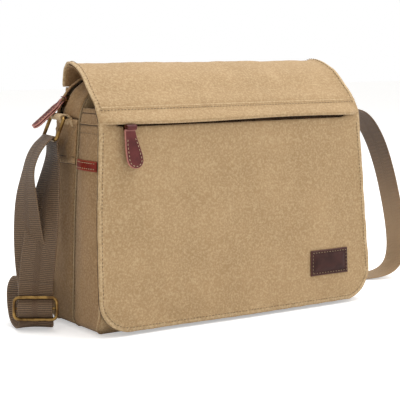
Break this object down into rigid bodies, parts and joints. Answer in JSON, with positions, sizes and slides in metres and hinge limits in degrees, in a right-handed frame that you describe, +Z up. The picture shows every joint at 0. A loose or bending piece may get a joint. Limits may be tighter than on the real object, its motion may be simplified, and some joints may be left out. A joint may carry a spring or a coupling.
{
  "type": "messenger bag",
  "caption": "Canvas laptop messenger bag with a roll-over flap, zip pocket in the flap, leather pulls and an adjustable webbing shoulder strap.",
  "frame": {"origin": "centre of the bag's foot on the floor, the strap left out", "axes": "+X along the bag's width, +Y towards its back, +Z up; the flap faces -Y"},
  "size_m": [0.571, 0.1939, 0.2924],
  "materials": {
    "canvas": "waxed cotton canvas",
    "lining": "plain nylon lining",
    "padding": "quilted padding",
    "zip_tape": "woven zip tape",
    "zip_teeth": "dark coated coil",
    "antique_brass": "antique brushed",
    "pull_leather": "burgundy, painted edges",
    "tab_leather": "red brown",
    "patch_leather": "dark brown, embossed border",
    "webbing": "ribbed webbing",
    "steel": "nickel plated"
  },
  "bodies": {
    "bag": {"back_panel": "canvas", "compartment_wall": "canvas", "main_gusset": "canvas", "main_lining": "lining", "laptop_divider": "padding", "zip_strip_rear": "canvas", "zip_strip_front": "canvas", "main_zip_tape": "zip_tape", "main_zip_teeth": "zip_teeth", "front_gusset": "canvas", "front_panel": "canvas", "front_lining": "lining", "slip_pocket": "lining", "strap_patch_left": "canvas", "strap_patch_right": "canvas", "anchor_tab_left": "canvas", "anchor_tab_right": "canvas", "side_tab_left": "tab_leather", "side_tab_right": "tab_leather", "snap_socket_left": "steel", "snap_socket_right": "steel", "flap_seam_strip": "canvas", "strap_left_loop": "webbing", "strap_main": "webbing", "glide_frame": "antique_brass", "glide_bar": "antique_brass"},
    "main_zip_slider": {"main_zip_slider": "antique_brass"},
    "main_zip_pull": {"main_zip_pull": "pull_leather"},
    "flap_roll": {"flap_roll": "canvas"},
    "flap_front": {"flap_lining": "lining", "flap_pocket_panel": "canvas", "flap_upper_panel": "canvas", "placket": "canvas", "flap_zip_tape": "zip_tape", "flap_zip_teeth": "zip_teeth", "leather_patch": "patch_leather", "snap_stud_left": "steel", "snap_stud_right": "steel"},
    "flap_zip_slider": {"flap_zip_slider": "antique_brass"},
    "flap_zip_pull": {"flap_zip_pull": "pull_leather"},
    "ring_left": {"ring_left": "antique_brass"},
    "ring_right": {"ring_right": "antique_brass"}
  },
  "joints": [
    {"name": "flap_lift", "type": "hinge", "parent": "bag", "child": "flap_roll", "pos_m": [0, 0.0588, 0.2638], "axis": [-1, 0, 0], "range_deg": [0, 160]},
    {"name": "flap_crease", "type": "hinge", "parent": "flap_roll", "child": "flap_front", "pos_m": [0, -0.04154, 0.24796], "axis": [-1, 0, 0], "range_deg": [0, 40]},
    {"name": "flap_zip_run", "type": "slide", "parent": "flap_front", "child": "flap_zip_slider", "axis": [1, 0, 0], "range_m": [0, 0.29]},
    {"name": "flap_pull_swing", "type": "hinge", "parent": "flap_zip_slider", "child": "flap_zip_pull", "pos_m": [-0.146, -0.05306, 0.22341], "axis": [-1, 0, 0], "range_deg": [0, 100]},
    {"name": "main_zip_run", "type": "hinge", "parent": "bag", "child": "main_zip_slider", "pos_m": [-0.13244, 0.038, 0.226], "axis": [0, 1, 0], "range_deg": [0, 28]},
    {"name": "main_pull_swing", "type": "hinge", "parent": "main_zip_slider", "child": "main_zip_pull", "pos_m": [-0.17897, 0.038, 0.25074], "axis": [0, 1, 0], "range_deg": [-4, 35]},
    {"name": "ring_left_swing", "type": "hinge", "parent": "bag", "child": "ring_left", "pos_m": [-0.19, 0.03, 0.232], "axis": [0.165, 0.9863, 0], "range_deg": [-10, 32], "deforming": ["strap_left_loop"]},
    {"name": "ring_right_swing", "type": "hinge", "parent": "bag", "child": "ring_right", "pos_m": [0.19, 0.03, 0.232], "axis": [0.165, -0.9863, 0], "range_deg": [-10, 60], "deforming": ["strap_main"]}
  ]
}
